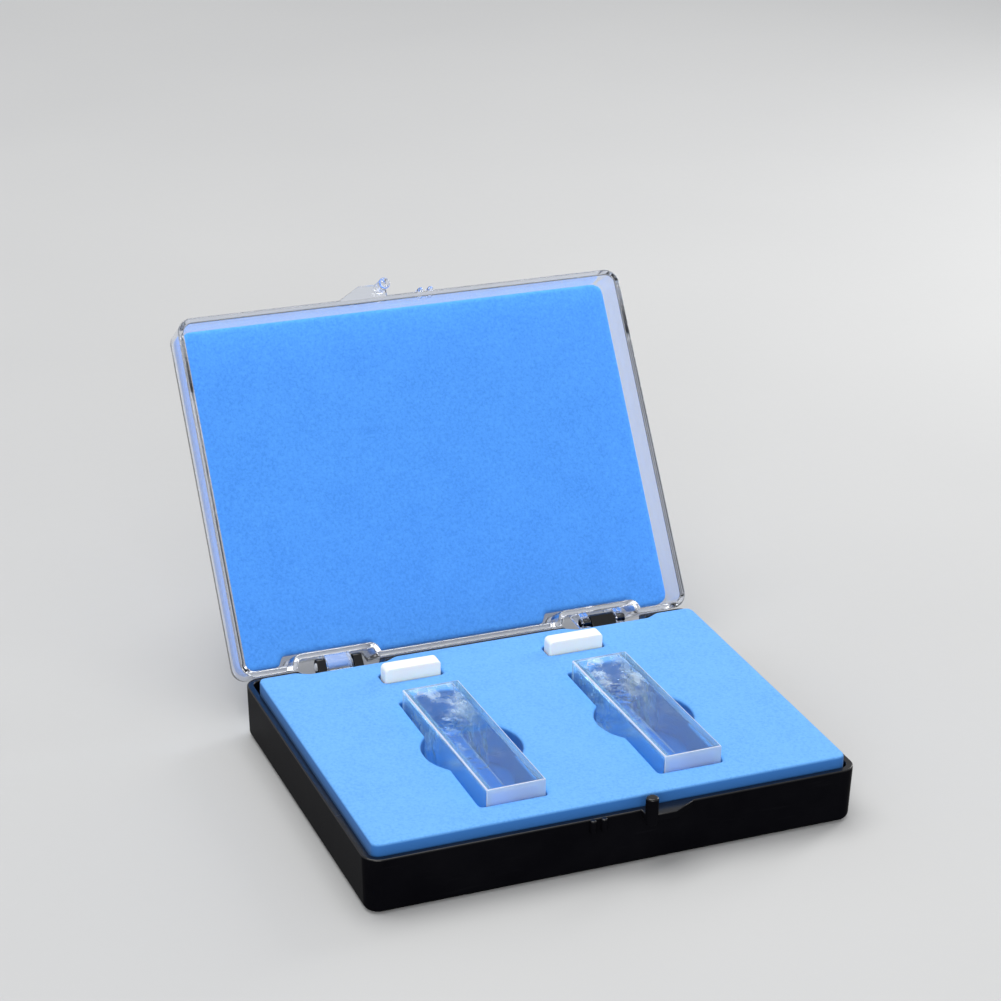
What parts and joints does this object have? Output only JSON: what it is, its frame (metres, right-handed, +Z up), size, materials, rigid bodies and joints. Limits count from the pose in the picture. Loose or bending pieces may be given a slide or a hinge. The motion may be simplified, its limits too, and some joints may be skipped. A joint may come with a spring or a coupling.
{
  "type": "cuvette case",
  "caption": "Hinged presentation case with a black tray, a clear lid and blue foam, holding a matched pair of glass cuvettes and their stoppers.",
  "frame": {"origin": "centre of the flat underside of the tray", "axes": "+Z up, -Y towards the latches at the front, +X to the right seen from the front"},
  "size_m": [0.1046, 0.1359, 0.0826],
  "materials": {
    "black_plastic": "glossy moulded polystyrene",
    "clear_plastic": "clear moulded polystyrene",
    "blue_foam": "fine closed-cell foam",
    "blue_pad_foam": "fine closed-cell foam",
    "optical_glass": "polished optical glass",
    "white_fluoropolymer": "satin turned fluoropolymer"
  },
  "bodies": {
    "tray": {"base_tray": "black_plastic", "foam_backing": "blue_foam", "foam_insert": "blue_foam"},
    "lid": {"lid_shell": "clear_plastic", "lid_pad": "blue_pad_foam"},
    "cuvette_left": {"cuvette_left_window_lower": "optical_glass", "cuvette_left_window_upper": "optical_glass", "cuvette_left_wall_left": "optical_glass", "cuvette_left_wall_right": "optical_glass", "cuvette_left_base": "optical_glass"},
    "cuvette_right": {"cuvette_right_window_lower": "optical_glass", "cuvette_right_window_upper": "optical_glass", "cuvette_right_wall_left": "optical_glass", "cuvette_right_wall_right": "optical_glass", "cuvette_right_base": "optical_glass"},
    "stopper_left": {"stopper_left": "white_fluoropolymer"},
    "stopper_right": {"stopper_right": "white_fluoropolymer"}
  },
  "joints": [
    {"name": "lid_hinge", "type": "hinge", "parent": "tray", "child": "lid", "pos_m": [0, 0.03975, 0.01225], "axis": [-1, 0, 0], "range_deg": [-124, 51]},
    {"name": "cuvette_left_lift", "type": "slide", "parent": "tray", "child": "cuvette_left", "axis": [0, 0, 1], "range_m": [0, 0.02]},
    {"name": "cuvette_right_lift", "type": "slide", "parent": "tray", "child": "cuvette_right", "axis": [0, 0, 1], "range_m": [0, 0.02]},
    {"name": "stopper_left_lift", "type": "slide", "parent": "tray", "child": "stopper_left", "axis": [0, 0, 1], "range_m": [0, 0.016]},
    {"name": "stopper_right_lift", "type": "slide", "parent": "tray", "child": "stopper_right", "axis": [0, 0, 1], "range_m": [0, 0.016]}
  ]
}
